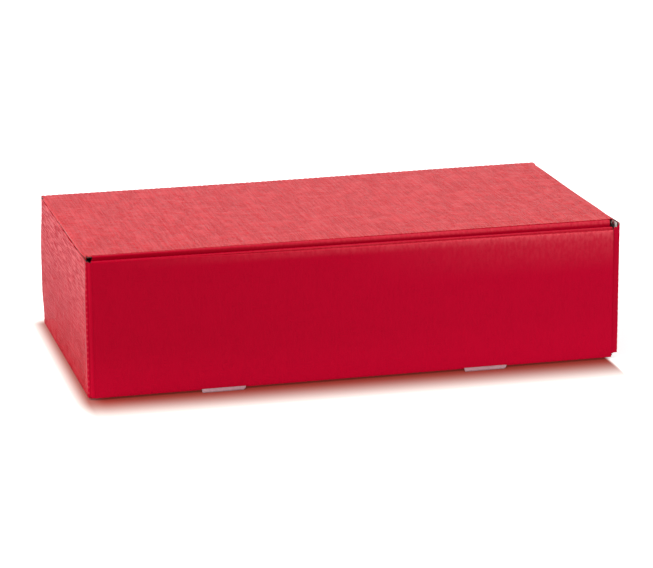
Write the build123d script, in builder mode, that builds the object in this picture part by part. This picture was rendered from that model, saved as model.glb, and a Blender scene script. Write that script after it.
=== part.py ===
from build123d import *
import math
import os

os.makedirs("parts", exist_ok=True)

# A two-bottle gift box folded from one sheet of fine corrugated board, standing on its
# base with the lid down. X runs along the hinge, the front is -Y and Z is up. The origin
# is the middle of the underside. Each panel between two creases is a piece of its own.

# The shut box, measured over the outside
box_length = 340.0
box_depth = 175.0
box_height = 87.0

# The board
board = 1.6  # thickness of the corrugated board
fold_radius = 1.2  # outside rounding of a folded edge
layer_gap = 0.2  # room between two layers folded against each other
flap_corner_radius = 4.0  # rounding of the cut corners of flaps

# Walls
wall_seat_gap = 0.2  # room between the shut lid and the walls' top edges
front_end_inset = 4.0  # how far the front panel stops short of the box's end
inner_wall_inset = 4.5  # the same for the inner front panel
back_end_inset = 1.0  # the same for the back panel
wall_corner_radius = 2.5  # rounding at the foot of the side walls' ends

# Dust flaps, folded in from the ends of the side walls
front_dust_flap_reach = 63.0
back_dust_flap_reach = 70.0
dust_flap_bottom = 2.5  # cut short of the base by this much

# Locks: two tabs of the inner front panel stand in cut-outs at the front bottom crease
tab_width = 27.5
tab_centre = 84.0
tab_root_height = 5.0  # where the tab leaves the inner front panel
tab_bend_height = 3.4  # where it starts to lean forward
tab_board = 1.2  # board pressed thin in the lock
tab_front_gap = 0.3  # the tab's tip stands back from the front face by this much
tab_corner_cut = 1.5  # bevel at one end of the tip
slot_gap = 0.5  # room round a tab in its cut-out
slot_height = 2.6  # height of the cut-out up the front panel

# Lid
lid_ajar = 0.5  # degrees that the lid stands open by itself
lid_end_inset = 1.0  # how far the lid stops short of the box's end
lid_front_gap = 0.4  # room between the tuck flap and the inner front panel
lid_relief_length = 4.0  # cut-out at the lid's front corners, along X
lid_relief_depth = 2.5  # and along Y
fold_clearance = 0.1  # room between the lid's underside and a flap folded against it

# Tuck flap at the lid's front, and the side flaps or ears at its ends
tuck_depth = 28.0
tuck_lean = 6.0  # degrees that the tuck flap leans inwards
tuck_end_inset = 5.0  # how far it stops short of the box's end
tuck_straight = 3.5  # its ends run straight down for this much, then slant at 45 degrees
ear_depth = 28.0
ear_wall_gap = 0.3  # room between an ear and the side wall
ear_front_gap = 4.5  # the ear starts this far behind the lid's front crease
ear_back_gap = 8.0  # and ends this far in front of the hinge
ear_back_slope = 20.0  # degrees that its back edge slants

# Places worked out from the sizes
half_length = box_length / 2
half_depth = box_depth / 2
wall_top = box_height - board - wall_seat_gap
ledge_bottom = wall_top - board
inner_wall_bottom = board + layer_gap
front_face = -half_depth
dust_flap_face = front_face + board + layer_gap
inner_wall_face = dust_flap_face + board + layer_gap
inner_wall_back = inner_wall_face + board
back_wall_inside = half_depth - board
side_wall_inside = half_length - board
slot_length = tab_width + 2 * slot_gap
lid_depth = half_depth - inner_wall_back - lid_front_gap
hinge = (0, half_depth, box_height)
sides = {"left": -1, "right": 1}
tab_places = [side * tab_centre for side in sides.values()]


def facing_front(y):
    """The plane across the box at y: sketch x is X, sketch y is Z, extruding to the front."""
    return Plane.XZ.offset(-y)


def across(x):
    """The plane along the box's depth at x: sketch x is Y, sketch y is Z, extruding to +X."""
    return Plane.YZ.offset(x)


def save(piece, name):
    piece.part.label = name
    export_step(piece.part, f"parts/{name}.step")


# The base, with a cut-out at its front edge for each lock tab
slot_reach = inner_wall_back + slot_gap + back_wall_inside
with BuildPart() as base_panel:
    with BuildSketch(Plane.XY):
        Rectangle(2 * side_wall_inside, 2 * back_wall_inside)
        with Locations(*[(place, -back_wall_inside) for place in tab_places]):
            Rectangle(slot_length, 2 * slot_reach, mode=Mode.SUBTRACT)
    extrude(amount=board)
save(base_panel, "base_panel")

# The front wall: an outer panel, a ledge over the top and an inner panel behind
front_half = half_length - front_end_inset
with BuildPart() as front_outer_wall:
    with BuildSketch(facing_front(front_face + board)):
        Rectangle(2 * front_half, ledge_bottom, align=(Align.CENTER, Align.MIN))
        with Locations(*[(place, 0) for place in tab_places]):
            Rectangle(slot_length, 2 * slot_height, mode=Mode.SUBTRACT)
    extrude(amount=board)
    outside_edges = front_outer_wall.faces().sort_by(Axis.Y)[0].edges().filter_by(Axis.X)
    fillet(outside_edges.group_by(Axis.Z)[0], radius=fold_radius)
save(front_outer_wall, "front_outer_wall")

with BuildPart() as front_top_ledge:
    with BuildSketch(facing_front(inner_wall_back)):
        with Locations((0, ledge_bottom)):
            Rectangle(2 * front_half, board, align=(Align.CENTER, Align.MIN))
    extrude(amount=inner_wall_back - front_face)
    top_edges = front_top_ledge.faces().sort_by(Axis.Z)[-1].edges().filter_by(Axis.X)
    fillet(top_edges, radius=fold_radius)
save(front_top_ledge, "front_top_ledge")

inner_half = half_length - inner_wall_inset
with BuildPart() as front_inner_wall:
    with BuildSketch(facing_front(inner_wall_back)):
        with Locations((0, inner_wall_bottom)):
            Rectangle(2 * inner_half, ledge_bottom - inner_wall_bottom, align=(Align.CENTER, Align.MIN))
        with Locations(*[(place, inner_wall_bottom) for place in tab_places]):
            Rectangle(tab_width, 2 * (tab_root_height - inner_wall_bottom), mode=Mode.SUBTRACT)
    extrude(amount=board)
save(front_inner_wall, "front_inner_wall")

# The lock tabs: each leans forward from the inner panel's foot into its cut-out
tab_tip = front_face + tab_front_gap
for side_name, side in sides.items():
    with BuildPart() as lock_tab:
        with BuildSketch(across(side * tab_centre - tab_width / 2)):
            with BuildLine():
                Polyline(
                    (tab_tip, 0),
                    (tab_tip + tab_board, 0),
                    (inner_wall_back, tab_bend_height),
                    (inner_wall_back, tab_root_height),
                    (inner_wall_face, tab_root_height),
                    (inner_wall_face, tab_bend_height),
                    close=True,
                )
            make_face()
        extrude(amount=tab_width)
        end = side * tab_centre + tab_width / 2
        with BuildSketch(facing_front(inner_wall_back)):
            with BuildLine():
                Polyline((end, 0), (end, tab_corner_cut), (end - tab_corner_cut, 0), close=True)
            make_face()
        extrude(amount=inner_wall_back - front_face, mode=Mode.SUBTRACT)
    save(lock_tab, f"{side_name}_lock_tab")

# The side walls, folded at the foot and at both ends
for side_name, side in sides.items():
    outside = side * half_length
    with BuildPart() as side_wall:
        with BuildSketch(across(min(outside, side * side_wall_inside))) as outline:
            Rectangle(-2 * dust_flap_face, wall_top, align=(Align.CENTER, Align.MIN))
            fillet(outline.vertices().group_by(Axis.Y)[0], radius=wall_corner_radius)
        extrude(amount=board)
        outer_face = side_wall.faces().filter_by(Axis.X).sort_by(Axis.X)[-1 if side > 0 else 0]
        fillet(outer_face.edges().sort_by(Axis.Z)[:-1], radius=fold_radius)
    save(side_wall, f"{side_name}_side_wall")

# The front dust flaps lie inside the double front wall, dropping under its ledge
for side_name, side in sides.items():
    tip = side_wall_inside - front_dust_flap_reach
    under_ledge = ledge_bottom - layer_gap
    with BuildPart() as front_dust_flap:
        with BuildSketch(facing_front(dust_flap_face + board)) as outline:
            with BuildLine():
                Polyline(
                    (side * side_wall_inside, dust_flap_bottom),
                    (side * side_wall_inside, wall_top),
                    (side * (front_half - layer_gap), under_ledge),
                    (side * tip, under_ledge),
                    (side * tip, dust_flap_bottom),
                    close=True,
                )
            make_face()
            tip_corners = outline.vertices().sort_by_distance((side * tip, wall_top / 2))[:2]
            fillet(tip_corners, radius=flap_corner_radius)
        extrude(amount=board)
    save(front_dust_flap, f"front_{side_name}_dust_flap")

# The back wall and the dust flaps inside it
with BuildPart() as back_wall:
    with BuildSketch(facing_front(half_depth)):
        Rectangle(2 * (half_length - back_end_inset), wall_top, align=(Align.CENTER, Align.MIN))
    extrude(amount=board)
    outside_edges = back_wall.faces().sort_by(Axis.Y)[-1].edges().filter_by(Axis.X)
    fillet(outside_edges.sort_by(Axis.Z)[0], radius=fold_radius)
save(back_wall, "back_wall")

for side_name, side in sides.items():
    flap_middle = side * (side_wall_inside - back_dust_flap_reach / 2)
    flap_height = wall_top - dust_flap_bottom
    with BuildPart() as back_dust_flap:
        with BuildSketch(facing_front(back_wall_inside - layer_gap)) as outline:
            with Locations((flap_middle, dust_flap_bottom + flap_height / 2)):
                Rectangle(back_dust_flap_reach, flap_height)
            tip_corners = outline.vertices().sort_by(Axis.X)
            fillet(tip_corners[:2] if side > 0 else tip_corners[2:], radius=flap_corner_radius)
        extrude(amount=board)
    save(back_dust_flap, f"back_{side_name}_dust_flap")

# The lid lies in a plane tipped up about the hinge: the outer corner line of lid and back
ajar = math.radians(lid_ajar)
lid_top = Plane(origin=hinge, x_dir=(1, 0, 0), z_dir=(0, math.sin(ajar), math.cos(ajar)))
lid_underside = lid_top.offset(-board)
lid_half = half_length - lid_end_inset
with BuildPart() as lid_panel:
    with BuildSketch(lid_underside):
        Rectangle(2 * lid_half, lid_depth, align=(Align.CENTER, Align.MAX))
        with Locations((-lid_half, -lid_depth), (lid_half, -lid_depth)):
            Rectangle(2 * lid_relief_length, 2 * lid_relief_depth, mode=Mode.SUBTRACT)
    extrude(amount=board)
    top_face = lid_panel.faces().sort_by(Axis(hinge, lid_top.z_dir))[-1]
    top_edges = top_face.edges().filter_by(Axis.X).sort_by(Axis.Y)
    fillet([top_edges[0], top_edges[-1]], radius=fold_radius)
save(lid_panel, "lid_panel")

# The tuck flap hangs from the lid's front crease and leans inwards behind the front wall
lean = math.radians(tuck_lean)
tuck_plane = Plane(
    origin=lid_underside.from_local_coords((0, -lid_depth, 0)),
    x_dir=(1, 0, 0),
    z_dir=lid_top.y_dir * -math.cos(lean) - lid_top.z_dir * math.sin(lean),
)
tuck_top = -(board * math.tan(lean) + fold_clearance)
tuck_half = half_length - tuck_end_inset
tuck_tip_half = tuck_half - (tuck_depth - tuck_straight)
with BuildPart() as lid_front_flap:
    with BuildSketch(tuck_plane) as outline:
        with BuildLine():
            Polyline(
                (-tuck_half, tuck_top),
                (tuck_half, tuck_top),
                (tuck_half, -tuck_straight),
                (tuck_tip_half, -tuck_depth),
                (-tuck_tip_half, -tuck_depth),
                (-tuck_half, -tuck_straight),
                close=True,
            )
        make_face()
        fillet(outline.vertices().group_by(Axis.Y)[0], radius=flap_corner_radius)
    extrude(amount=-board)
save(lid_front_flap, "lid_front_flap")

# The ears hang from the lid's ends inside the side walls, their front edges at 45 degrees
ear_outside = side_wall_inside - ear_wall_gap
ear_inside = ear_outside - board
ear_front = -lid_depth + ear_front_gap
ear_back_lean = (ear_depth - fold_clearance) * math.tan(math.radians(ear_back_slope))
for side_name, side in sides.items():
    near_x = min(side * ear_outside, side * ear_inside)
    ear_plane = Plane(
        origin=lid_underside.from_local_coords((near_x, 0, 0)),
        x_dir=lid_top.y_dir,
        z_dir=lid_top.x_dir,
    )
    with BuildPart() as lid_side_flap:
        with BuildSketch(ear_plane) as outline:
            with BuildLine():
                Polyline(
                    (ear_front, -fold_clearance),
                    (-ear_back_gap, -fold_clearance),
                    (-ear_back_gap - ear_back_lean, -ear_depth),
                    (ear_front + ear_depth - fold_clearance, -ear_depth),
                    close=True,
                )
            make_face()
            fillet(outline.vertices().group_by(Axis.Y)[0], radius=flap_corner_radius)
        extrude(amount=board)
    save(lid_side_flap, f"lid_{side_name}_side_flap")
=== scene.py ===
import math
import random

import bmesh
import bpy
from mathutils import Matrix, Vector


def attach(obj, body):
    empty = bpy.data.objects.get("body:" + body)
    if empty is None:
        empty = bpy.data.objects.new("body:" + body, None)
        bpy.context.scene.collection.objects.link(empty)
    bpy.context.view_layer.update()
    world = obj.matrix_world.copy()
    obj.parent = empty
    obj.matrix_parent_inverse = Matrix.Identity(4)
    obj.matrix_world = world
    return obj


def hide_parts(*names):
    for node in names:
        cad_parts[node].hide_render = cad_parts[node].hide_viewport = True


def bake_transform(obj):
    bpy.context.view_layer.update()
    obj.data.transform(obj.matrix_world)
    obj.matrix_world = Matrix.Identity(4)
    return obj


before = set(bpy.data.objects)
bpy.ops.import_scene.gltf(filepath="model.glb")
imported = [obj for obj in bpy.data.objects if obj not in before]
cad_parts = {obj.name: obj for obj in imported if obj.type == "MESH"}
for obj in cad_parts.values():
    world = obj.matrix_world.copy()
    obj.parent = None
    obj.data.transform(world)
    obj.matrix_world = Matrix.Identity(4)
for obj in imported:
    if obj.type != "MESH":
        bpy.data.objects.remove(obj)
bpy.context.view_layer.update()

# The visual model of a two-bottle gift box folded from one sheet of fine corrugated board.
# X runs along the hinge and the front is -Y. Sizes are in mm, but places within materials, and those
# of the lights and the camera, are in metres.
MM = 0.001

# The box, as in the part's source
LENGTH, DEPTH, HEIGHT = 340.0, 175.0, 87.0
HALF_LENGTH, HALF_DEPTH = LENGTH / 2, DEPTH / 2
BOARD = 1.6
WALL_TOP = 85.2  # top of the walls
FRONT = -HALF_DEPTH  # the front face
BACK_HALF = 169.0  # half the back wall's length
INNER_HALF = 165.5  # half the inner front panel's length
LID_HALF = 169.0
LID_DEPTH = 169.4
TUCK_HALF = 165.0
TUCK_DEPTH = 28.0
TUCK_STRAIGHT = 3.5  # the tuck flap's ends run straight down for this much, then slant at 45 degrees
TUCK_LEAN = math.radians(6.0)
AJAR = math.radians(0.5)
FLAP_FACE = 85.7  # y of the outer faces of the dust flaps, in front and behind
FLAP_FOOT = 2.5  # the dust flaps' lower edge
FLAP_RADIUS = 4  # rounding of the dust flaps' corners
FRONT_REACH, BACK_REACH = 63.0, 70.0  # reach of the dust flaps
SIDE_INSIDE = 168.4  # inside of the side walls
EAR_BACK = -8.0  # where an ear ends, from the hinge
EAR_SLOPE = math.tan(math.radians(20))
TAB_HALF = 13.75
SLOT_HALF = 14.25

# Where the sheets differ from the source's plates, to leave room for the folds between them
BASE_HALF, BASE_END = 168.3, 85.8  # half the base's length and depth
FRONT_HALF = 165.75
SLOT_BACK = -81.8  # back of the cut-outs for the tabs
FOOT = 3.2  # how far up a foot fold reaches
FOOT_RADIUS = 1.3
FRONT_ZONE = 77.0  # above this the front face shows the flutes of its top fold
FRONT_CREST = 85.05  # the crest of that fold
PANEL_TOP = 83.0  # where the front panels' boards end, under their folds
LEDGE_TOP = 85.0
LEDGE_START, LEDGE_END = 2.85, 3.9  # the flat part of the ledge, from the front face
INNER_BACK = 5.2  # the inner front panel's back, from the front face
INNER_FOOT = 3.0  # the inner front panel's lower edge between the tabs' roots
SIDE_END = 84.1  # half a side wall's depth
SIDE_ZONE = 81.5  # from here a side wall lies under its upright folds
UPRIGHT_RADIUS = 1.5
FLAP_ROOT = 168.15
FLAP_TOP = 83.3  # top of the front dust flaps, under the ledge
BACK_ZONE = 79.0  # above this the back wall lies under the lid's crease
EAR_FACE = 168.3  # outer face of the ears
EAR_BOARD = 1.42
CREASE_IN = 167.2  # where the ears' creases start
TUCK_ZONE = 5.0  # how far down the tuck flap its crease reaches
FLOOR_Z = -1.0  # just under the tabs

# The lock tabs, where the photograph shows them: their middles, and y and z of the upper edges
TAB_CENTRES = (-85.8, 82.2)
TAB_TIP = (-89.6, -0.2)
TAB_ROOT = (-83.6, 2.75)
TAB_BOARD = 0.88  # board pressed thin

# The board's make-up
PITCH = LENGTH / 94  # from flute to flute
LINER = 0.28  # thickness of a paper liner
RECESS = 0.7  # how far the flutes stand back from a cut edge, as seen between the liners
SKIN = 0.4  # thickness of the folded skin over a crease
FLUTE_PAPER = 0.07  # half the thickness of the wavy middle paper
SHARP_FROM = math.radians(38)  # edges that turn by less are shaded smooth
RED, RED_SIDE, WHITE, EDGE, BOUNCE_PINK, RED_FRONT = range(6)  # material slots of every panel

# The linen emboss. Scales are per mm along x, y and z.
THREAD_ACROSS, THREAD_ALONG = 1.15, 0.11
# By the axis that a face's flutes are spaced along: streaks in the emboss, the painted glints on its
# threads, how much of the glints' noise shows, and their colour
EMBOSS = {
    0: {"streaks": (0.85, 0.03, 0.12), "glints": (0.95, 0.035, 0.3), "shown": (0.42, 0.60),
        "tint": (0.95, 0.13, 0.15)},
    2: {"streaks": (0.12, 0.035, 1.4), "glints": (0.3, 0.06, 1.35), "shown": (0.46, 0.56),
        "tint": (0.80, 0.135, 0.155)},
}
BLACK = (0.0, 0.0, 0.0)
# the colour of the painted highlights on the front's folds
HIGHLIGHT_RED = (0.78, 0.075, 0.10)


# ---------------------------------------------------------------- node trees
class Graph:
    """A node tree, with short calls for the nodes that are used here."""

    def __init__(self, tree):
        self.tree = tree

    def add(self, kind, **values):
        """A new node. Each value goes to the input of that name, or else to the node's property."""
        made = self.tree.nodes.new(kind)
        for name, value in values.items():
            if name in made.inputs:
                made.inputs[name].default_value = value
            else:
                setattr(made, name, value)
        return made

    def feed(self, value, socket):
        """Links an output to the socket, or gives the socket a plain value."""
        if hasattr(value, "is_output"):
            self.tree.links.new(value, socket)
        else:
            socket.default_value = value

    def maths(self, operation, *values):
        made = self.add("ShaderNodeMath", operation=operation)
        for value, socket in zip(values, made.inputs):
            self.feed(value, socket)
        return made.outputs[0]

    def times(self, first, *others):
        return self.maths("MULTIPLY", first, self.times(*others)) if others else first

    def plus(self, a, b):
        return self.maths("ADD", a, b)

    def higher(self, a, b):
        return self.maths("MAXIMUM", a, b)

    def ramp(self, value, low, high):
        """0 at low, 1 at high, and a soft rise between."""
        made = self.add("ShaderNodeMapRange", interpolation_type="SMOOTHSTEP")
        self.feed(low, made.inputs["From Min"])
        self.feed(high, made.inputs["From Max"])
        self.feed(value, made.inputs["Value"])
        return made.outputs[0]

    def mix(self, share, a, b):
        """Colour a where the share is 0, and b where it is 1."""
        made = self.add("ShaderNodeMix", data_type="RGBA")
        self.feed(share, made.inputs[0])
        for colour, socket in zip((a, b), (made.inputs[6], made.inputs[7])):
            self.feed((*colour, 1.0) if isinstance(colour, tuple) else colour, socket)
        return made.outputs[2]

    def coordinates(self):
        return self.add("ShaderNodeTexCoord").outputs["Object"]

    def split(self, vector):
        made = self.add("ShaderNodeSeparateXYZ")
        self.feed(vector, made.inputs[0])
        return made.outputs

    def noise(self, coords, scale, detail, distortion=0.0):
        """Noise whose grain is 1/scale mm along each axis."""
        mapping = self.add("ShaderNodeMapping", Scale=[s / MM for s in scale])
        self.feed(coords, mapping.inputs["Vector"])
        made = self.add("ShaderNodeTexNoise", Scale=1.0, Detail=detail, Distortion=distortion)
        self.feed(mapping.outputs[0], made.inputs["Vector"])
        return made.outputs[0]

    def washboard(self, coords, axis, strength):
        """The faint waves that the flutes press into the liner, across the given axis."""
        turned = self.times(self.split(coords)[axis], 2 * math.pi / (PITCH * MM))
        return self.times(self.maths("COSINE", turned), strength)

    def seen(self):
        """1 for what the camera sees, directly, mirrored or through glass, and 0 for other light."""
        path = self.add("ShaderNodeLightPath")
        direct = self.higher(path.outputs["Is Camera Ray"], path.outputs["Is Glossy Ray"])
        return self.higher(direct, path.outputs["Is Transmission Ray"])

    def finish(self, shader):
        out = self.add("ShaderNodeOutputMaterial")
        self.feed(shader.outputs[0], out.inputs[0])

    def finish_board(self, colour, rough, height, strength, relief, ior):
        """The surface of board or paper, its height pressed in with the given relief in mm."""
        bump = self.add("ShaderNodeBump", Strength=strength, Distance=relief * MM)
        self.feed(height, bump.inputs["Height"])
        shader = self.add("ShaderNodeBsdfPrincipled", IOR=ior)
        self.feed(colour, shader.inputs["Base Color"])
        self.feed(rough, shader.inputs["Roughness"])
        self.feed(bump.outputs[0], shader.inputs["Normal"])
        self.finish(shader)


def new_material(name):
    mat = bpy.data.materials.new(name)
    mat.use_nodes = True
    mat.node_tree.nodes.clear()
    return mat, Graph(mat.node_tree)


# ---------------------------------------------------------------- materials
def fold_highlight(graph, coords):
    """Painted highlights where the folds along the front catch the light, more so towards the right."""
    ramp, times, plus = graph.ramp, graph.times, graph.plus
    x, y, z = graph.split(coords)
    left, front = times(x, -1.0), times(y, -1.0)
    along = times(ramp(x, -0.165, 0.07), ramp(x, 0.1662, 0.1656))

    # painted highlight on the front wall's top, on its right half from further down
    broad = plus(times(ramp(z, 0.0750, 0.0800), 0.20), times(ramp(z, 0.056, 0.080), 0.32))
    wall = plus(times(ramp(z, 0.0785, 0.0835), 0.45), times(broad, ramp(x, -0.02, 0.20)))
    face = plus(0.3, times(ramp(front, 0.0851, 0.0860), 0.7))
    wall = times(wall, face, ramp(front, 0.0822, 0.0830))

    # painted highlight on the lid's front crease
    behind = ramp(front, 0.0828, 0.0822)
    lid = times(ramp(front, 0.0796, 0.0802), ramp(z, 0.0853, 0.0872), behind, 0.42)
    grain = graph.noise(coords, (0.6, 0.6, 0.3), 3.0)
    uneven = plus(plus(0.55, graph.washboard(coords, 0, 0.05)), times(ramp(grain, 0.3, 0.7), 0.6))

    # painted highlights on the flutes' crowns on the upright fold at the front left
    corner = times(ramp(left, 0.1687, 0.1692), ramp(front, 0.0846, 0.0851))
    corner = times(corner, ramp(graph.washboard(coords, 2, 1.0), 0.1, 0.9), 0.4)
    return plus(times(plus(wall, lid), along, uneven), corner)


def red_liner(name, axis, ior, relief, left, right, shine=0.0, foot=1.0):
    """Red film-faced liner with a linen emboss: threads along all three axes, of which two show on
    each face. Its flutes are spaced along the axis, and relief is the emboss's height in mm. left and
    right are the colours at the box's two ends, a painted shading that lightens the film towards the
    right, where more light falls; shine is how much painted glints lighten the threads, and foot how
    much painted bounce light from the floor lightens the foot."""
    mat, graph = new_material(name)
    ramp, times, plus = graph.ramp, graph.times, graph.plus
    coords = graph.coordinates()
    x, _, z = graph.split(coords)
    grain = EMBOSS[axis]

    threads = []
    for across in range(3):
        scale = [THREAD_ACROSS if k == across else THREAD_ALONG for k in range(3)]
        threads.append(ramp(graph.noise(coords, scale, 2.0), 0.36, 0.66))
    weave = graph.higher(graph.higher(threads[0], threads[1]), threads[2])
    streaks = graph.noise(coords, grain["streaks"], 2.0)
    ribs = graph.noise(coords, (0.10, 0.28, 0.10), 2.0)
    height = plus(plus(times(weave, 0.6), times(streaks, 0.9)), times(ribs, 0.15))
    height = plus(height, graph.washboard(coords, axis, 0.04))

    tone = plus(times(weave, 0.55), times(streaks, 0.45))
    # painted shading: the colour lightens from the left end to the right
    base = graph.mix(ramp(x, -0.17, 0.17), left, right)
    shaded = graph.mix(ramp(tone, 0.25, 0.75), BLACK, base)
    colour = graph.mix(0.04, base, shaded)
    # painted bounce light: lighter at the foot, for the light the floor throws up onto it
    if foot > 1.0:
        low = graph.maths("SUBTRACT", 1.0, ramp(z, 0.0, 0.035))
        lighter = tuple(min(1.0, 2 * c) for c in right)
        colour = graph.mix(times(low, foot - 1.0), colour, lighter)
    # painted glints: the threads' highlights mixed into the colour
    if shine:
        glint = ramp(graph.noise(coords, grain["glints"], 1.0), *grain["shown"])
        if axis == 2:  # the painted glints are stronger towards the top, where more light falls
            glint = times(glint, plus(0.16, ramp(z, 0.020, 0.090)))
        colour = graph.mix(times(glint, shine), colour, grain["tint"])
    # painted highlights where the folds catch the light
    colour = graph.mix(fold_highlight(graph, coords), colour, HIGHLIGHT_RED)
    graph.finish_board(colour, plus(0.28, times(streaks, 0.16)), height, 1.0, relief, ior)
    return mat


def paper(name, dark, light, axis, rough):
    """Uncoated paper with fibres and the flutes' faint washboard."""
    mat, graph = new_material(name)
    times, plus = graph.times, graph.plus
    coords = graph.coordinates()
    fibres = graph.noise(coords, (0.9, 0.9, 0.9), 4.0, 0.6)
    clouds = graph.noise(coords, (0.06, 0.06, 0.06), 3.0)
    colour = graph.mix(graph.ramp(plus(times(fibres, 0.5), times(clouds, 0.5)), 0.3, 0.7), dark, light)
    height = plus(fibres, graph.washboard(coords, axis, 0.25))
    graph.finish_board(colour, rough, height, 0.35, 0.08, 1.3)
    return mat


# In the order of the slots. The three red liners are copies of one film in different brightness, painted
# light: the copy for the lid and most panels is lightest, the side walls' is below it, and the front's is
# darkest.
materials = [
    red_liner("red_linen_liner", 0, 1.17, 0.8, (0.595, 0.006, 0.017), (0.685, 0.020, 0.030), shine=0.19),
    red_liner("red_linen_liner_side", 2, 1.055, 1.0, (0.53, 0.001, 0.017), (0.53, 0.001, 0.02), shine=0.70),
    paper("white_inner_liner", (0.60, 0.57, 0.55), (0.70, 0.67, 0.65), 0, 0.75),
    # the cut edges: kraft brown, partly darkened to paint the shade between the flutes
    paper("cut_board_edge", (0.09, 0.065, 0.055), (0.19, 0.14, 0.115), 1, 0.85),
    # the tabs' white inner liner, painted pink-grey for the red light bouncing onto it and for shade
    paper("liner_painted_bounce_pink", (0.44, 0.25, 0.28), (0.55, 0.35, 0.38), 0, 0.7),
    red_liner("red_linen_liner_front", 0, 1.10, 0.12, (0.485, 0.0006, 0.020), (0.565, 0.0009, 0.026),
              foot=1.15),
]


# ---------------------------------------------------------------- mesh building
class Shape:
    """Vertices and faces of one piece, in mm, gathered from several closed shells."""

    def __init__(self):
        self.points, self.faces, self.slots = [], [], []

    def add(self, points):
        first = len(self.points)
        self.points.extend(points)
        return first

    def face(self, corners, slot):
        self.faces.append(corners)
        self.slots.append(slot)

    def build(self, name, slot):
        mesh = bpy.data.meshes.new(name)
        mesh.from_pydata([[c * MM for c in p] for p in self.points], [], self.faces)
        for mat in materials:
            mesh.materials.append(mat)
        mesh.polygons.foreach_set("material_index", self.slots)
        work = bmesh.new()
        work.from_mesh(mesh)
        bmesh.ops.recalc_face_normals(work, faces=work.faces)
        work.to_mesh(mesh)
        work.free()
        mesh.polygons.foreach_set("use_smooth", [True] * len(mesh.polygons))
        mesh.set_sharp_from_angle(angle=SHARP_FROM)
        piece = bpy.data.objects.new(name, mesh)
        bpy.context.scene.collection.objects.link(piece)
        return piece


def ring_normals(ring):
    """Unit vectors pointing inwards at each corner of a closed outline in the plane."""
    area = sum(a[0] * b[1] - b[0] * a[1] for a, b in zip(ring, ring[1:] + ring[:1]))
    sign = 1.0 if area > 0 else -1.0
    found = []
    for i, here in enumerate(ring):
        before, after = ring[i - 1], ring[(i + 1) % len(ring)]
        total = [0.0, 0.0]
        for a, b in ((before, here), (here, after)):
            run = math.hypot(b[0] - a[0], b[1] - a[1])
            if run > 1e-9:
                total[0] -= sign * (b[1] - a[1]) / run
                total[1] += sign * (b[0] - a[0]) / run
        size = math.hypot(*total) or 1.0
        found.append((total[0] / size, total[1] / size))
    return found


def slab(shape, rows, cols, place, outer, inner=WHITE, thick=BOARD, edge=EDGE, waves=None, folded=None,
         liner=LINER):
    """A board panel. rows are (v, low u, high u, sink): sink lowers the outer face where a folded
    skin lies over it. place(u, v, depth) gives a point, depth 0 being the outer face. waves is 0
    or 1 where the cut edge shows the flutes' wave along u or v. folded(u, v) is true where the
    border meets a fold and isn't cut. liner is the outer paper's thickness at the border."""
    rows = [row if len(row) == 4 else (*row, 0.0) for row in rows]
    count, width = len(rows), cols + 1

    def flat(i, j):
        v, low, high, _ = rows[i]
        return low + (high - low) * j / cols, v

    top = shape.add([place(*flat(i, j), rows[i][3]) for i in range(count) for j in range(width)])
    under = shape.add([place(*flat(i, j), thick) for i in range(count) for j in range(width)])
    for i in range(count - 1):
        for j in range(cols):
            a = i * width + j
            corners = (a, a + 1, a + width + 1, a + width)
            shape.face([top + c for c in corners], outer)
            shape.face([under + c for c in corners], inner)
    ring = [(0, j) for j in range(width)] + [(i, cols) for i in range(1, count)]
    ring += [(count - 1, j) for j in range(cols - 1, -1, -1)] + [(i, 0) for i in range(count - 2, 0, -1)]
    line = [flat(*at) for at in ring]
    inward = ring_normals(line)
    recess = 0.05 if edge == outer else RECESS
    deep = [(u + n[0] * recess, v + n[1] * recess) for (u, v), n in zip(line, inward)]
    sinks = [rows[i][3] for i, _ in ring]
    loops = [
        [top + i * width + j for i, j in ring],
        shape.add([place(*p, s + liner) for p, s in zip(line, sinks)]),
        shape.add([place(*p, s + liner) for p, s in zip(deep, sinks)]),
        shape.add([place(*p, thick - LINER) for p in deep]),
        shape.add([place(*p, thick - LINER) for p in line]),
        [under + i * width + j for i, j in ring],
    ]
    loops = [loop if isinstance(loop, list) else list(range(loop, loop + len(ring))) for loop in loops]
    for layer, (near, far) in enumerate(zip(loops, loops[1:])):
        for k in range(len(ring)):
            after = (k + 1) % len(ring)
            joined = layer == 0 or (folded and folded(*line[k]) and folded(*line[after]))
            shape.face([near[k], near[after], far[after], far[k]], outer if joined else edge)
    if waves is not None:
        flute_ribbon(shape, line, place, thick, waves)


def flute_ribbon(shape, line, place, thick, along):
    """The wavy middle paper, seen between the liners all round a cut edge."""
    spacing = PITCH / 8
    samples = []
    for a, b in zip(line, line[1:] + line[:1]):
        run = math.hypot(b[0] - a[0], b[1] - a[1])
        parts = max(1, round(run / spacing))
        for k in range(parts):
            samples.append((a[0] + (b[0] - a[0]) * k / parts, a[1] + (b[1] - a[1]) * k / parts))
    inward = ring_normals(samples)
    swing = thick / 2 - LINER - FLUTE_PAPER
    outside, inside = 0.12, RECESS + 0.05
    rings = []
    for reach, side in ((outside, 1), (inside, 1), (inside, -1), (outside, -1)):
        points = []
        for p, n in zip(samples, inward):
            height = thick / 2 + swing * math.sin(2 * math.pi * p[along] / PITCH)
            points.append(place(p[0] + n[0] * reach, p[1] + n[1] * reach, height + side * FLUTE_PAPER))
        rings.append(shape.add(points))
    total = len(samples)
    for near, far in zip(rings, rings[1:] + rings[:1]):
        for k in range(total):
            after = (k + 1) % total
            shape.face([near + k, near + after, far + after, far + k], EDGE)


flute_depths = random.Random(5)
flute_factor = [0.55 + 0.9 * flute_depths.random() for _ in range(240)]


def flute_dip(w):
    """1 between two flutes and 0 on a flute's crown, a little deeper at some than at others."""
    turn = w / PITCH
    index = int(math.floor(turn)) % len(flute_factor)
    return (1 - abs(math.cos(math.pi * turn - math.pi / 2))) * flute_factor[index]


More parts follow.
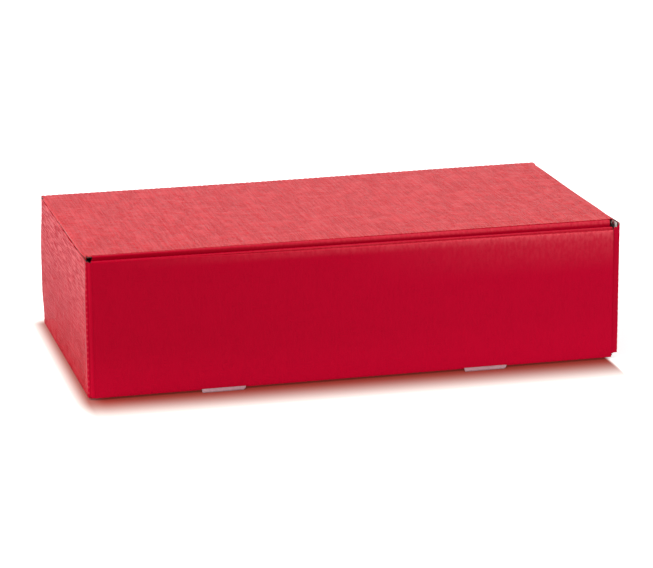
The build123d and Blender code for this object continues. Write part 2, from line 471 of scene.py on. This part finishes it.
def strip(shape, profile, low, high, place, outer, dips=0.0, side=1.0, cols=2):
    """A folded skin: profile points (a, b, share of the dips) swept from low to high. place(w, a, b)
    gives a point. side tells on which side of the profile the outer face is."""
    count = len(profile)
    if dips:
        spacing = PITCH / 6
        first, last = math.ceil(low / spacing + 0.2), math.floor(high / spacing - 0.2)
        stations = [low] + [k * spacing for k in range(first, last + 1)] + [high]
    else:
        stations = [low + (high - low) * k / cols for k in range(cols + 1)]
    normals = []
    for i in range(count):
        a, b = profile[max(0, i - 1)], profile[min(count - 1, i + 1)]
        run = math.hypot(b[0] - a[0], b[1] - a[1])
        normals.append((-side * (b[1] - a[1]) / run, side * (b[0] - a[0]) / run))
    faces_out, faces_in = [], []
    for w in stations:
        fall = dips * flute_dip(w)
        for (a, b, share), (na, nb) in zip(profile, normals):
            faces_out.append(place(w, a - na * fall * share, b - nb * fall * share))
            faces_in.append(place(w, a - na * SKIN, b - nb * SKIN))
    out, back = shape.add(faces_out), shape.add(faces_in)
    total = len(stations)
    for k in range(total - 1):
        for i in range(count - 1):
            a = k * count + i
            corners = (a, a + 1, a + count + 1, a + count)
            shape.face([out + c for c in corners], outer)
            shape.face([back + c for c in corners], WHITE)
        for i in (0, count - 1):
            a = k * count + i
            shape.face([out + a, out + a + count, back + a + count, back + a], outer)
    for k in (0, total - 1):
        for i in range(count - 1):
            a = k * count + i
            shape.face([out + a, out + a + 1, back + a + 1, back + a], outer)


def arc(centre, radii, start, end, steps, share=1.0):
    """Profile points round a fold, angles in degrees from the a axis."""
    found = []
    for k in range(steps + 1):
        turn = math.radians(start + (end - start) * k / steps)
        found.append((centre[0] + radii[0] * math.cos(turn), centre[1] + radii[1] * math.sin(turn), share))
    return found


def spread(low, high, count):
    """Evenly spaced numbers from low to high."""
    return [low + (high - low) * k / (count - 1) for k in range(count)]


# ---------------------------------------------------------------- the box's small unevenness
def clamp(value):
    return min(max(value, 0.0), 1.0)


def smooth(low, high, value):
    """0 below low, 1 above high, and a soft rise between."""
    share = clamp((value - low) / (high - low))
    return share * share * (3 - 2 * share)


def front_tilt(x):
    """The front wall's top edge sits a little higher at the left than at the right."""
    return 0.2 - 0.6 * x / 166.0


def front_point(x, y, v):
    """A point of the front wall, v being its height before the unevenness."""
    bulge = 0.3 * math.sin(math.pi * clamp(v / WALL_TOP)) * math.cos(math.pi * x / 380.0)
    lean = 0.8 * smooth(-60.0, 160.0, x) * clamp((v - 55.0) / 30.0) ** 2
    lean *= 1 - 0.9 * smooth(1.6, INNER_BACK, y - FRONT)
    return (x, y - bulge + lean, v * (1 + front_tilt(x) / WALL_TOP))


def side_point(sign, x, y, z):
    """A point of the left (-1) or right (1) side wall, x being its distance from the box's middle.
    The right wall stands a little higher and further out at its front end, and its inner edge is
    worn thin at the top. The left one bulges along its back half and leans in at the top."""
    if sign > 0:
        rise = 2.1 * smooth(-8.0, -84.0, y)
        x += 0.28 * smooth(81.5, 85.0, z) * smooth(-82.0, -70.0, y) * (HALF_LENGTH - x)
        x += 0.5 * smooth(0.0, -80.0, y) * smooth(-30.0, 12.0, z)
    else:
        rise = 0.4 * smooth(0.0, -80.0, y)
        x += 0.8 * smooth(-40.0, 60.0, y) * smooth(4.0, 25.0, z) * smooth(86.0, 45.0, z)
        x -= 0.5 * smooth(55.0, 84.0, z) * smooth(168.3, 170.0, x)
    return (sign * x, y, z + rise * z / WALL_TOP)


def back_lift(x):
    """The crease along the back rises towards the right."""
    return 1.39 * smooth(-60.0, 165.0, x)


def lid_point(x, y, z):
    """A point in the lid's frame, from the hinge line; the lid's front is slightly twisted."""
    share = clamp(-y / LID_DEPTH)
    z += (0.06 + 0.235 * x / LID_HALF) * share
    z += back_lift(x) * (1 - 0.62 * smooth(0.1, 0.6, share) - 0.38 * smooth(0.8, 0.98, share))
    c, s = math.cos(AJAR), math.sin(AJAR)
    return (x, HALF_DEPTH + y * c + z * s, HEIGHT - y * s + z * c)


def fold_step(x):
    """How much the front's folds stand apart from the panels behind them; none at the left end."""
    return smooth(-145.0, -20.0, x)


def fold_size(x):
    """The folds along the top are sharper at the left and rounder at the right."""
    return 0.42 + 0.58 * smooth(-150.0, 90.0, x)


# ---------------------------------------------------------------- panels and their edges
def between_tabs(half, tab_half):
    """The stretches of a panel's length that the lock tabs leave free."""
    left, right = TAB_CENTRES
    return ((-half, left - tab_half), (left + tab_half, right - tab_half), (right + tab_half, half))


def rounded_tip(reach, high):
    """Rows of a dust flap's tip, with both its corners rounded."""
    tip = SIDE_INSIDE - reach
    rows = [(tip + FLAP_RADIUS, FLAP_FOOT, high)]
    for degrees in (30, 60, 90):
        turn = math.radians(degrees)
        cut = FLAP_RADIUS * (1 - math.cos(turn))
        rows.append((tip + FLAP_RADIUS - FLAP_RADIUS * math.sin(turn), FLAP_FOOT + cut, high - cut))
    return rows


def flat_place(u, v, d):
    return (u, v, d)


def front_place(w, a, b):
    return front_point(w, FRONT + a, b)


def inner_place(u, v, d):
    return front_point(u, FRONT + INNER_BACK - d, v)


def finish_piece(shape, node_name, body, slot="red_board"):
    piece = shape.build(f"{node_name}_sheet", slot)
    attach(piece, body)
    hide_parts(node_name)


# ---------------------------------------------------------------- base
shape = Shape()
slab(shape, [(y, -BASE_HALF, BASE_HALF) for y in spread(SLOT_BACK, BASE_END, 6)], 8, flat_place, RED)
for low, high in between_tabs(BASE_HALF, SLOT_HALF):
    cut_high = min(high, 165.2)  # the right front corner is cut off
    slab(shape, [(-BASE_END, low, cut_high), (SLOT_BACK, low, high)], 2, flat_place, RED)
finish_piece(shape, "base_panel", "tray")


# ---------------------------------------------------------------- front wall
def top_fold(w, a, b):
    """A point of the front wall's top fold, which sags and is rounder towards the right."""
    below = FRONT_CREST - b
    size = fold_size(w)
    size += (1 - size) * clamp(below / 8.0)
    sag = (1.15 * fold_step(w) + 0.35 * smooth(90.0, 160.0, w)) * smooth(FRONT_ZONE, 83.5, b)
    return front_point(w, FRONT + a * size, FRONT_CREST - below * size - sag)


shape = Shape()
rows = [(FOOT_RADIUS, -FRONT_HALF, FRONT_HALF, SKIN), (FOOT, -FRONT_HALF, FRONT_HALF, SKIN)]
rows += [(v, -FRONT_HALF, FRONT_HALF, 0.0) for v in spread(FOOT, FRONT_ZONE, 9)]
rows += [(FRONT_ZONE, -FRONT_HALF, FRONT_HALF, SKIN), (PANEL_TOP, -FRONT_HALF, FRONT_HALF, SKIN)]
slab(shape, rows, 24, lambda u, v, d: front_point(u, FRONT + d, v), RED_FRONT, edge=RED_FRONT)
profile = [(0, FRONT_ZONE, 0), (0, 78.2, 0.12), (0, 79.4, 0.3), (0, 80.6, 0.5), (0, 81.8, 0.75)]
profile += arc((1.35, 83.6), (1.35, 1.4), 180, 90, 7)
profile += [(1.55, 84.9, 0.8), (1.7, 84.75, 0.5), (1.85, 84.7, 0.2)]
strip(shape, profile, -FRONT_HALF, FRONT_HALF, top_fold, RED_FRONT, dips=0.2)
foot_profile = [(0, FOOT, 0), (0, 2.3, 0.3)]
foot_profile += arc((FOOT_RADIUS, FOOT_RADIUS), (FOOT_RADIUS, FOOT_RADIUS), 180, 270, 5, 0.8)
foot_profile.append((1.7, 0, 0.3))
for low, high in between_tabs(FRONT_HALF, SLOT_HALF):
    strip(shape, foot_profile, low, high, front_place, RED_FRONT, dips=0.14, side=-1.0)
over_slot = [(0, FOOT, 0), (0, 2.2, 0), (0, 1.05, 0), (0.15, 0.9, 0)]
for middle in TAB_CENTRES:
    strip(shape, over_slot, middle - SLOT_HALF, middle + SLOT_HALF, front_place, RED_FRONT, side=-1.0)
finish_piece(shape, "front_outer_wall", "tray")


# The ledge over the front wall's top, with its inner fold
def ledge_point(u, v, d):
    """A point of the ledge, v being its distance from the front face. It falls towards the front."""
    start = 1.75 * fold_size(u)
    share = (v - LEDGE_START) / (LEDGE_END - LEDGE_START)
    drop = 0.25 * fold_step(u) * (1 - share)
    return front_point(u, FRONT + start + share * (LEDGE_END - start), LEDGE_TOP - drop - d)


shape = Shape()
rows = [(v, -FRONT_HALF, FRONT_HALF) for v in (LEDGE_START, 3.3, LEDGE_END)]
slab(shape, rows, 24, ledge_point, RED_FRONT, thick=1.4, edge=RED_FRONT)
profile = [(LEDGE_END, LEDGE_TOP, 0.2)] + arc((4.0, 83.8), (1.2, 1.2), 90, 0, 5)
profile.append((INNER_BACK, PANEL_TOP, 0.2))
strip(shape, profile, -FRONT_HALF, FRONT_HALF, front_place, RED_FRONT, dips=0.12)
finish_piece(shape, "front_top_ledge", "tray")

# The inner front panel, red towards the inside, with room for the tabs at its foot
shape = Shape()
slab(shape, [(v, -INNER_HALF, INNER_HALF) for v in spread(INNER_FOOT, PANEL_TOP, 8)], 24, inner_place, RED)
for low, high in between_tabs(INNER_HALF, TAB_HALF):
    slab(shape, [(1.8, low, high), (INNER_FOOT, low, high)], 6, inner_place, RED)
finish_piece(shape, "front_inner_wall", "tray")

# The lock tabs lean forward through their cut-outs, pressed side out
TAB_RUN = math.hypot(TAB_ROOT[0] - TAB_TIP[0], TAB_ROOT[1] - TAB_TIP[1])
TAB_WAY = ((TAB_ROOT[0] - TAB_TIP[0]) / TAB_RUN, (TAB_ROOT[1] - TAB_TIP[1]) / TAB_RUN)


def tab_place(u, v, d):
    """A point of a lock tab, v being its distance from the tip."""
    y, z = TAB_TIP
    return (u, y + TAB_WAY[0] * v + TAB_WAY[1] * d, z + TAB_WAY[1] * v - TAB_WAY[0] * d)


for name, middle in zip(("left", "right"), TAB_CENTRES):
    shape = Shape()
    low, high = middle - TAB_HALF, middle + TAB_HALF
    rows = [(0.0, low + 0.25, high - 2.2), (0.25, low, high - 1.6), (0.9, low, high - 0.7)]
    rows += [(1.8, low, high - 0.1), (2.2, low, high), (TAB_RUN, low, high)]
    # the tabs' outer face is painted pink-grey for bounce light and shade
    slab(shape, rows, 6, tab_place, BOUNCE_PINK, inner=RED, thick=TAB_BOARD, edge=BOUNCE_PINK)
    finish_piece(shape, f"{name}_lock_tab", "tray", "inner_liner")

# ---------------------------------------------------------------- side walls and dust flaps
for name, sign in (("left", -1), ("right", 1)):
    shape = Shape()
    rows = [(-SIDE_END, FOOT, WALL_TOP, SKIN), (-SIDE_ZONE, FOOT, WALL_TOP, SKIN)]
    rows += [(y, FOOT, WALL_TOP, 0.0) for y in spread(-SIDE_ZONE, SIDE_ZONE, 9)]
    rows += [(SIDE_ZONE, FOOT, WALL_TOP, SKIN), (SIDE_END, FOOT, WALL_TOP, SKIN)]
    slab(shape, rows, 10, lambda u, v, d: side_point(sign, HALF_LENGTH - d, v, u), RED_SIDE,
         liner=LINER if sign > 0 else 1.25)

    # the upright folds, the one in front (-1) reaching onto the strip beside the front face
    for way in (-1, 1):
        right_front = (way, sign) == (-1, 1)

        def upright_place(w, a, b):
            """The right front fold's top drops away from its corner."""
            drop = 2.3 * smooth(169.8, 168.6, a) * smooth(70.0, WALL_TOP, w) if right_front else 0.0
            return side_point(sign, a, way * b, w - drop)

        radius = 0.8 if right_front else UPRIGHT_RADIUS
        profile = [(HALF_LENGTH, SIDE_ZONE, 0), (HALF_LENGTH, 82.6, 0.3), (HALF_LENGTH, 83.4, 0.7)]
        profile += arc((HALF_LENGTH - radius, FLAP_FACE - radius), (radius, radius), 0, 90, 6)
        end = FLAP_FACE + 0.02
        profile.append((FLAP_ROOT, end, 0.3))
        if way < 0:
            out = 1.65 if sign < 0 else 0.5
            profile += [(167.4, end + 0.6 * out, 0), (166.4, end + out, 0), (165.78, end + out, 0)]
        strip(shape, profile, 2.6 if right_front else 0.7, WALL_TOP, upright_place,
              RED_FRONT if way < 0 else RED_SIDE, dips=0.09, side=-1.0)

    profile = [(HALF_LENGTH, FOOT, 0)]
    profile += arc((HALF_LENGTH - FOOT_RADIUS, FOOT_RADIUS), (FOOT_RADIUS, FOOT_RADIUS), 0, -90, 6, 0)
    profile.append((BASE_HALF, 0, 0))
    foot_front = -79.5 if sign > 0 else -84.8
    strip(shape, profile, foot_front, 84.8, lambda w, a, b: (sign * a, w, b), RED_SIDE, side=1.0)
    finish_piece(shape, f"{name}_side_wall", "tray")

    # the front dust flap, dropping under the ledge
    shape = Shape()
    high = 84.9 if sign > 0 else 85.6
    low = (4.2, 3.8, 3.4) if sign > 0 else (2.7, 2.5, 2.5)
    rows = [(FLAP_ROOT, low[0], high), (167.0, low[1], (high + 83.4) / 2), (165.8, low[2], 83.4)]
    rows += [(162.0, FLAP_FOOT, FLAP_TOP), (140.0, FLAP_FOOT, FLAP_TOP)]
    rows += rounded_tip(FRONT_REACH, FLAP_TOP)
    slab(shape, rows, 10, lambda u, v, d: front_point(sign * v, -FLAP_FACE + d, u), RED_SIDE, waves=0)
    finish_piece(shape, f"front_{name}_dust_flap", "tray")

    # the back dust flap
    shape = Shape()
    rows = [(FLAP_ROOT, 2.7, WALL_TOP), (140.0, FLAP_FOOT, WALL_TOP)] + rounded_tip(BACK_REACH, WALL_TOP)
    slab(shape, rows, 10, lambda u, v, d: (sign * v, FLAP_FACE - d, u), RED_SIDE, waves=0)
    finish_piece(shape, f"back_{name}_dust_flap", "tray")

# ---------------------------------------------------------------- back wall
shape = Shape()
rows = [(FOOT_RADIUS, -BACK_HALF, BACK_HALF, SKIN), (FOOT, -BACK_HALF, BACK_HALF, SKIN)]
rows += [(v, -BACK_HALF, BACK_HALF, 0.0) for v in spread(FOOT, BACK_ZONE, 8)]
rows += [(BACK_ZONE, -BACK_HALF, BACK_HALF, SKIN), (WALL_TOP, -BACK_HALF, BACK_HALF, SKIN)]
slab(shape, rows, 16, lambda u, v, d: (u, HALF_DEPTH - d, v), RED)
strip(shape, foot_profile, -BACK_HALF, BACK_HALF, lambda w, a, b: (w, HALF_DEPTH - a, b), RED,
      dips=0.14, side=-1.0)
finish_piece(shape, "back_wall", "tray")

# ---------------------------------------------------------------- lid
shape = Shape()
rows = [(-2.4, -LID_HALF, LID_HALF), (-7.8, -LID_HALF, LID_HALF), (-8.2, -CREASE_IN, CREASE_IN)]
rows += [(y, -CREASE_IN, CREASE_IN) for y in spread(-20.0, -155.0, 8)]
rows += [(-164.7, -CREASE_IN, CREASE_IN), (-165.1, -CREASE_IN, 167.0), (-166.9, -CREASE_IN, 166.0)]
slab(
    shape, rows, 24, lambda u, v, d: lid_point(u, v, -d), RED,
    folded=lambda u, v: v < -166.8 or v > -2.5 or (abs(u) < CREASE_IN + 0.1 and v < -8.1),
)
corner = [(-166.7, -167.4, -164.2), (-168.0, -167.3, -164.2), (-168.9, -166.7, -164.2)]
slab(shape, corner, 2, lambda u, v, d: lid_point(u, v, -0.1 - d), RED, thick=0.9)
finish_piece(shape, "lid_panel", "lid")


# The tuck flap
def tuck_point(x, v, d):
    """A point of the tuck flap, v being its distance down from the lid's crease."""
    y = -LID_DEPTH + math.sin(TUCK_LEAN) * v + math.cos(TUCK_LEAN) * d
    z = -BOARD - math.cos(TUCK_LEAN) * v + math.sin(TUCK_LEAN) * d
    return lid_point(x, y, z)


shape = Shape()
short_half = TUCK_HALF - 1.5
rows = [(0.6, -TUCK_HALF, TUCK_HALF, SKIN), (TUCK_STRAIGHT, -TUCK_HALF, TUCK_HALF, SKIN)]
rows += [(TUCK_ZONE, -short_half, short_half, SKIN), (TUCK_ZONE, -short_half, short_half, 0.0)]
for v in (10.0, 16.0, 22.0, 26.8):
    half = TUCK_HALF - (v - TUCK_STRAIGHT)
    rows.append((v, -half, half, 0.0))
tip_half = TUCK_HALF - (TUCK_DEPTH - TUCK_STRAIGHT)
for v, cut in ((27.5, -0.1), (27.9, 0.9), (TUCK_DEPTH, 1.8)):
    rows.append((v, -tip_half + cut, tip_half - cut, 0.0))
slab(shape, rows, 40, tuck_point, RED_FRONT, waves=0)
finish_piece(shape, "lid_front_flap", "tuck_flap")


# The crease between lid and tuck flap
def lid_fold(w, a, b):
    """A point of the crease along the lid's front, which is rounder towards the right."""
    size = fold_size(w)
    size += (1 - size) * smooth(-2.5, -6.0, b)
    across = size if a < -166.7 else 1.0
    return lid_point(w, -LID_DEPTH + (a + LID_DEPTH) * across, b * size)


shape = Shape()
profile = [(-166.3, -0.33, 0.2), (-166.95, -0.36, 0.3), (-167.2, -0.39, 0.6)]
profile += arc((-167.4, -2.4), (2.0, 2.0), 90, 180, 8)
for v, share in ((1.2, 0.8), (2.0, 0.6), (3.0, 0.3), (4.0, 0.1), (TUCK_ZONE, 0.0)):
    profile.append((-LID_DEPTH + math.sin(TUCK_LEAN) * v, -BOARD - math.cos(TUCK_LEAN) * v, share))
strip(shape, profile, -TUCK_HALF + 0.5, TUCK_HALF, lid_fold, RED_FRONT, dips=0.22, side=-1.0)
front_crease = shape.build("lid_front_crease", "red_board")
[c * MM for c in lid_point(0, -167.9, 0)]
[c * MM for c in lid_point(0, -169.4, -1.5)]
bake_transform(front_crease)


# The crease between back wall and lid
def back_place(w, a, b):
    return (w, HALF_DEPTH + a, HEIGHT + b + back_lift(w) * (1 + b / 8.0))


shape = Shape()
profile = [(-2.5, -0.5, 0.2), (-2.15, -0.42, 0.3), (-1.85, -0.2, 0.5), (-1.65, -0.04, 0.8)]
profile += arc((-1.5, -1.5), (1.5, 1.5), 90, 0, 7)
profile += [(0, -2.6, 0.8), (0, -4.0, 0.5), (0, -6.0, 0.2), (0, -8.0, 0.0)]
strip(shape, profile, -BACK_HALF, BACK_HALF, back_place, RED, dips=0.2, side=1.0)
back_crease = shape.build("lid_back_crease", "red_board")
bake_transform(back_crease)

# The ears and their creases
for name, sign in (("left", -1), ("right", 1)):
    shape = Shape()
    ear_front = -LID_DEPTH + (4.5 if sign < 0 else 2.4)
    rows = []
    for v, sink in ((1.8, SKIN), (3.0, SKIN), (3.0, 0), (3.1, 0), (3.2, 0), (8.0, 0), (16.0, 0), (24.5, 0)):
        slant = v if sign < 0 or v > 3.1 else -0.4  # a small tab at the right ear's root: a dark sheet put into the shaded gap at the front right corner
        rows.append((v, ear_front + slant, EAR_BACK - EAR_SLOPE * v, sink))
    rows += [
        (26.5, ear_front + 27.2, EAR_BACK - EAR_SLOPE * 26.5 - 0.5, 0.0),
        (27.6, ear_front + 29.6, EAR_BACK - EAR_SLOPE * 27 - 1.8, 0.0),
        (28.0, ear_front + 32.0, EAR_BACK - EAR_SLOPE * 27 - 4.0, 0.0),
    ]
    slab(shape, rows, 40, lambda u, v, d: lid_point(sign * (EAR_FACE - d), u, -v), RED_SIDE,
         thick=EAR_BOARD, waves=1)
    finish_piece(shape, f"lid_{name}_side_flap", f"{name}_ear")

    def end_fold(w, a, b):
        """The lid's front sits a little to the left, so its left end reaches further over its wall,
        but for its last few millimetres in front."""
        over = (0.3 if sign < 0 else -0.9) * min(-w / LID_DEPTH, 1.0)
        if sign < 0:
            over -= 1.3 * smooth(-161.0, -167.0, w)
        return lid_point(sign * (a + over * smooth(167.4, 169.0, a)), w, b)

    shape = Shape()
    profile = [(167.12, -0.35, 0), (CREASE_IN, -0.06, 0), (167.35, -0.01, 0)]
    profile += arc((167.6, -1.1), (1.4, 1.1), 90, -25, 9, 0)
    profile += [(168.45, -1.68, 0), (168.2, -1.85, 0), (168.1, -2.2, 0), (168.1, -3.0, 0)]
    crease_front = ear_front if sign > 0 else -166.6
    strip(shape, profile, crease_front, EAR_BACK, end_fold, RED, side=1.0, cols=12)
    crease = shape.build(f"lid_{name}_crease", "red_board")
    [c * MM for c in lid_point(sign * 167.6, -86.0, 0.0)]
    [c * MM for c in lid_point(sign * 168.6, -86.0, -1.7)]
    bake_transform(crease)


# ---------------------------------------------------------------- floor
def floor_material():
    """White table with a painted soft, warm contact shadow where the box stands on it, seen by the camera
    and in reflections.
    """
    mat, graph = new_material("pale_floor")
    ramp, times, plus = graph.ramp, graph.times, graph.plus
    x, y, _ = graph.split(graph.coordinates())

    def above(value):
        return graph.higher(value, 0.0)

    # distances outwards from the box's four sides, which set the painted shadow's reach; the left one
    # starts further out towards the back
    past_left = plus(times(x, -1.0), -170.0 * MM)
    left = plus(times(above(past_left), 3.2), times(ramp(past_left, -14 * MM, 0.0), 10.0 * MM))
    left = plus(left, times(times(above(plus(y, 87.5 * MM)), 0.02), ramp(past_left, -3 * MM, 0.0)))
    right = times(above(plus(x, -162.0 * MM)), 16.0)
    front = above(plus(times(y, -1.0), -86.5 * MM))
    back = times(above(plus(y, -86.5 * MM)), 3.0)
    total = plus(plus(times(left, left), times(right, right)), plus(times(front, front), times(back, back)))
    reach = graph.maths("SQRT", total)

    # the shadow's tint: each colour channel rises from its lowest value between two distances in mm
    warm = graph.add("ShaderNodeCombineColor")
    for socket, near, wide, low in zip(warm.inputs, (-8, 2, 3), (64, 55, 58), (0.24, 0.035, 0.028)):
        graph.feed(plus(times(ramp(reach, near * MM, wide * MM), 1.0 - low), low), socket)
    tint = graph.mix(0.14, warm.outputs[0], BLACK)
    # the floor's glow: white in the open, and a dark warm brown near the box as part of the painted shadow
    glow = graph.mix(ramp(reach, 0.0, 58 * MM), (0.10, 0.016, 0.010), (0.65, 0.65, 0.65))
    seen = graph.seen()
    shader = graph.add("ShaderNodeBsdfPrincipled", Roughness=0.55, IOR=1.1)
    graph.feed(glow, shader.inputs["Emission Color"])
    graph.feed(seen, shader.inputs["Emission Strength"])
    graph.feed(graph.mix(seen, (0.86, 0.86, 0.86), tint), shader.inputs["Base Color"])
    graph.finish(shader)
    return mat


mesh = bpy.data.meshes.new("floor")
side = 4000.0 * MM
corners = [(-side, -side, 0), (side, -side, 0), (side, side, 0), (-side, side, 0)]
mesh.from_pydata(corners, [], [(0, 1, 2, 3)])
mesh.materials.append(floor_material())
floor = bpy.data.objects.new("floor", mesh)
floor.location.z = FLOOR_Z * MM
bpy.context.scene.collection.objects.link(floor)

# ---------------------------------------------------------------- light
WORLD_LIGHT = 0.5  # the world's light on the object; seen directly, it is white
world = bpy.data.worlds.new("studio")
world.use_nodes = True
graph = Graph(world.node_tree)
background = world.node_tree.nodes["Background"]
background.inputs["Color"].default_value = (1.0, 1.0, 1.0, 1.0)
strength = graph.plus(graph.times(graph.seen(), 1.0 - WORLD_LIGHT), WORLD_LIGHT)
graph.feed(strength, background.inputs["Strength"])
bpy.context.scene.world = world

LIGHTS_AIM = Vector((0, 0, 0.04))


def softbox(name, place, size, power):
    """A rectangular lamp that faces the box."""
    light = bpy.data.lights.new(name, "AREA")
    light.shape = "RECTANGLE"
    light.size, light.size_y = size
    light.energy = power
    made = bpy.data.objects.new(name, light)
    made.location = place
    made.rotation_mode = "QUATERNION"
    made.rotation_quaternion = (LIGHTS_AIM - Vector(place)).to_track_quat("-Z", "Y")
    bpy.context.scene.collection.objects.link(made)


softbox("key", (-0.90, -0.10, 1.32), (1.1, 1.1), 20.5)
softbox("fill_right", (0.8, -0.8, 0.4), (0.6, 0.5), 1.8)

# ---------------------------------------------------------------- camera
# Fitted to the edges and corners in the photograph
AZIMUTH, ELEVATION, ROLL = (math.radians(a) for a in (-14.18, 15.37, -0.33))
DISTANCE, AIM_RIGHT, AIM_UP = 1.8999, 0.0014, 0.036
back = Vector((
    math.sin(AZIMUTH) * math.cos(ELEVATION), -math.cos(AZIMUTH) * math.cos(ELEVATION), math.sin(ELEVATION),
))
right = (-back).cross(Vector((0, 0, 1))).normalized()
up = right.cross(-back)
rolled_right = math.cos(ROLL) * right + math.sin(ROLL) * up
rolled_up = -math.sin(ROLL) * right + math.cos(ROLL) * up
camera_data = bpy.data.cameras.new("camera")
camera_data.sensor_fit = "HORIZONTAL"
camera_data.sensor_width = 36.0
camera_data.lens = 161.26
camera_data.clip_start, camera_data.clip_end = 0.05, 50.0
camera = bpy.data.objects.new("camera", camera_data)
place = back * DISTANCE + rolled_right * AIM_RIGHT + rolled_up * AIM_UP
turned = Matrix((rolled_right, rolled_up, back)).transposed().to_4x4()
camera.matrix_world = Matrix.Translation(place) @ turned
bpy.context.scene.collection.objects.link(camera)
bpy.context.scene.camera = camera
bpy.context.scene.view_settings.view_transform = "Standard"
